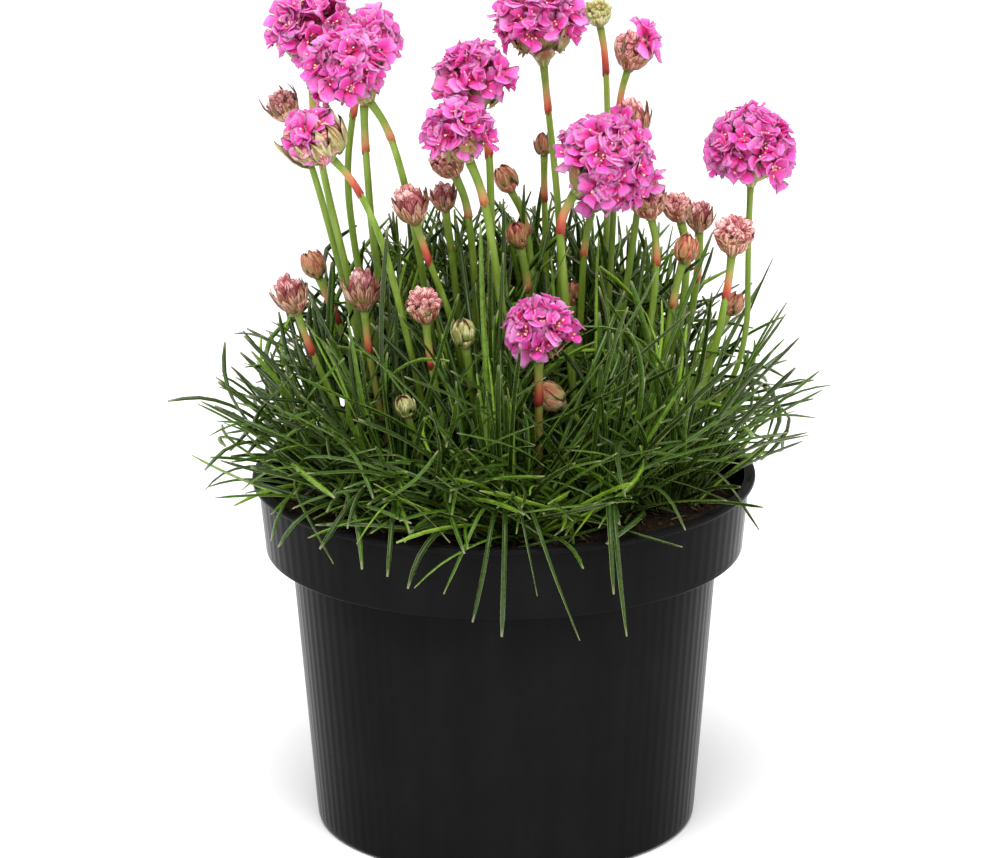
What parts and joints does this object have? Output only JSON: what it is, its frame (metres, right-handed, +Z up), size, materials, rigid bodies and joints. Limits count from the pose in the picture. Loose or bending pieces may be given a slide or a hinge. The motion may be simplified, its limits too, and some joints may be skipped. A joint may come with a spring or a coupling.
{
  "type": "potted sea thrift",
  "caption": "Sea thrift in flower, with pink globe heads and buds on bare stalks over a mound of grassy leaves, in a round black nursery pot.",
  "frame": {"origin": "centre of the pot's underside, where the pot stands", "axes": "+Z up along the pot's axis, -Y the side that faced the camera, +X to the viewer's right"},
  "size_m": [0.17, 0.1656, 0.2193],
  "materials": {
    "pot_plastic": "semi-gloss moulded, fine upright flutes",
    "peat": "rough, crumbly",
    "leaf": "satin, smooth leaf",
    "stalk": "satin, smooth stem",
    "petal": "soft, thin petal",
    "bud": "dry papery bracts on a green stalk"
  },
  "bodies": {
    "root": {"pot": "pot_plastic", "soil": "peat", "rosette_01": "leaf", "rosette_02": "leaf", "rosette_03": "leaf", "rosette_04": "leaf", "rosette_05": "leaf", "rosette_06": "leaf", "rosette_07": "leaf", "rosette_08": "leaf", "rosette_09": "leaf", "bloom_stalk_01": "stalk", "bloom_stalk_02": "stalk", "bloom_stalk_03": "stalk", "bloom_stalk_04": "stalk", "bloom_stalk_05": "stalk", "bloom_stalk_06": "stalk", "bloom_stalk_07": "stalk", "bloom_stalk_08": "stalk", "bloom_stalk_09": "stalk", "bloom_stalk_10": "stalk", "bloom_stalk_11": "stalk", "bloom_01": "petal", "bloom_02": "petal", "bloom_03": "petal", "bloom_04": "petal", "bloom_05": "petal", "bloom_06": "petal", "bloom_07": "petal", "bloom_08": "petal", "bloom_09": "petal", "bloom_10": "petal", "bloom_11": "petal", "bud_01": "bud", "bud_02": "bud", "bud_03": "bud", "bud_04": "bud", "bud_05": "bud", "bud_06": "bud", "bud_07": "bud", "bud_08": "bud", "bud_09": "bud", "bud_10": "bud", "bud_11": "bud", "bud_12": "bud", "bud_13": "bud", "bud_14": "bud", "bud_15": "bud", "bud_16": "bud", "bud_17": "bud", "bud_18": "bud", "bud_19": "bud", "bud_20": "bud", "bud_21": "bud", "bud_22": "bud", "bud_23": "bud", "bud_24": "bud", "bud_25": "bud"}
  },
  "joints": []
}
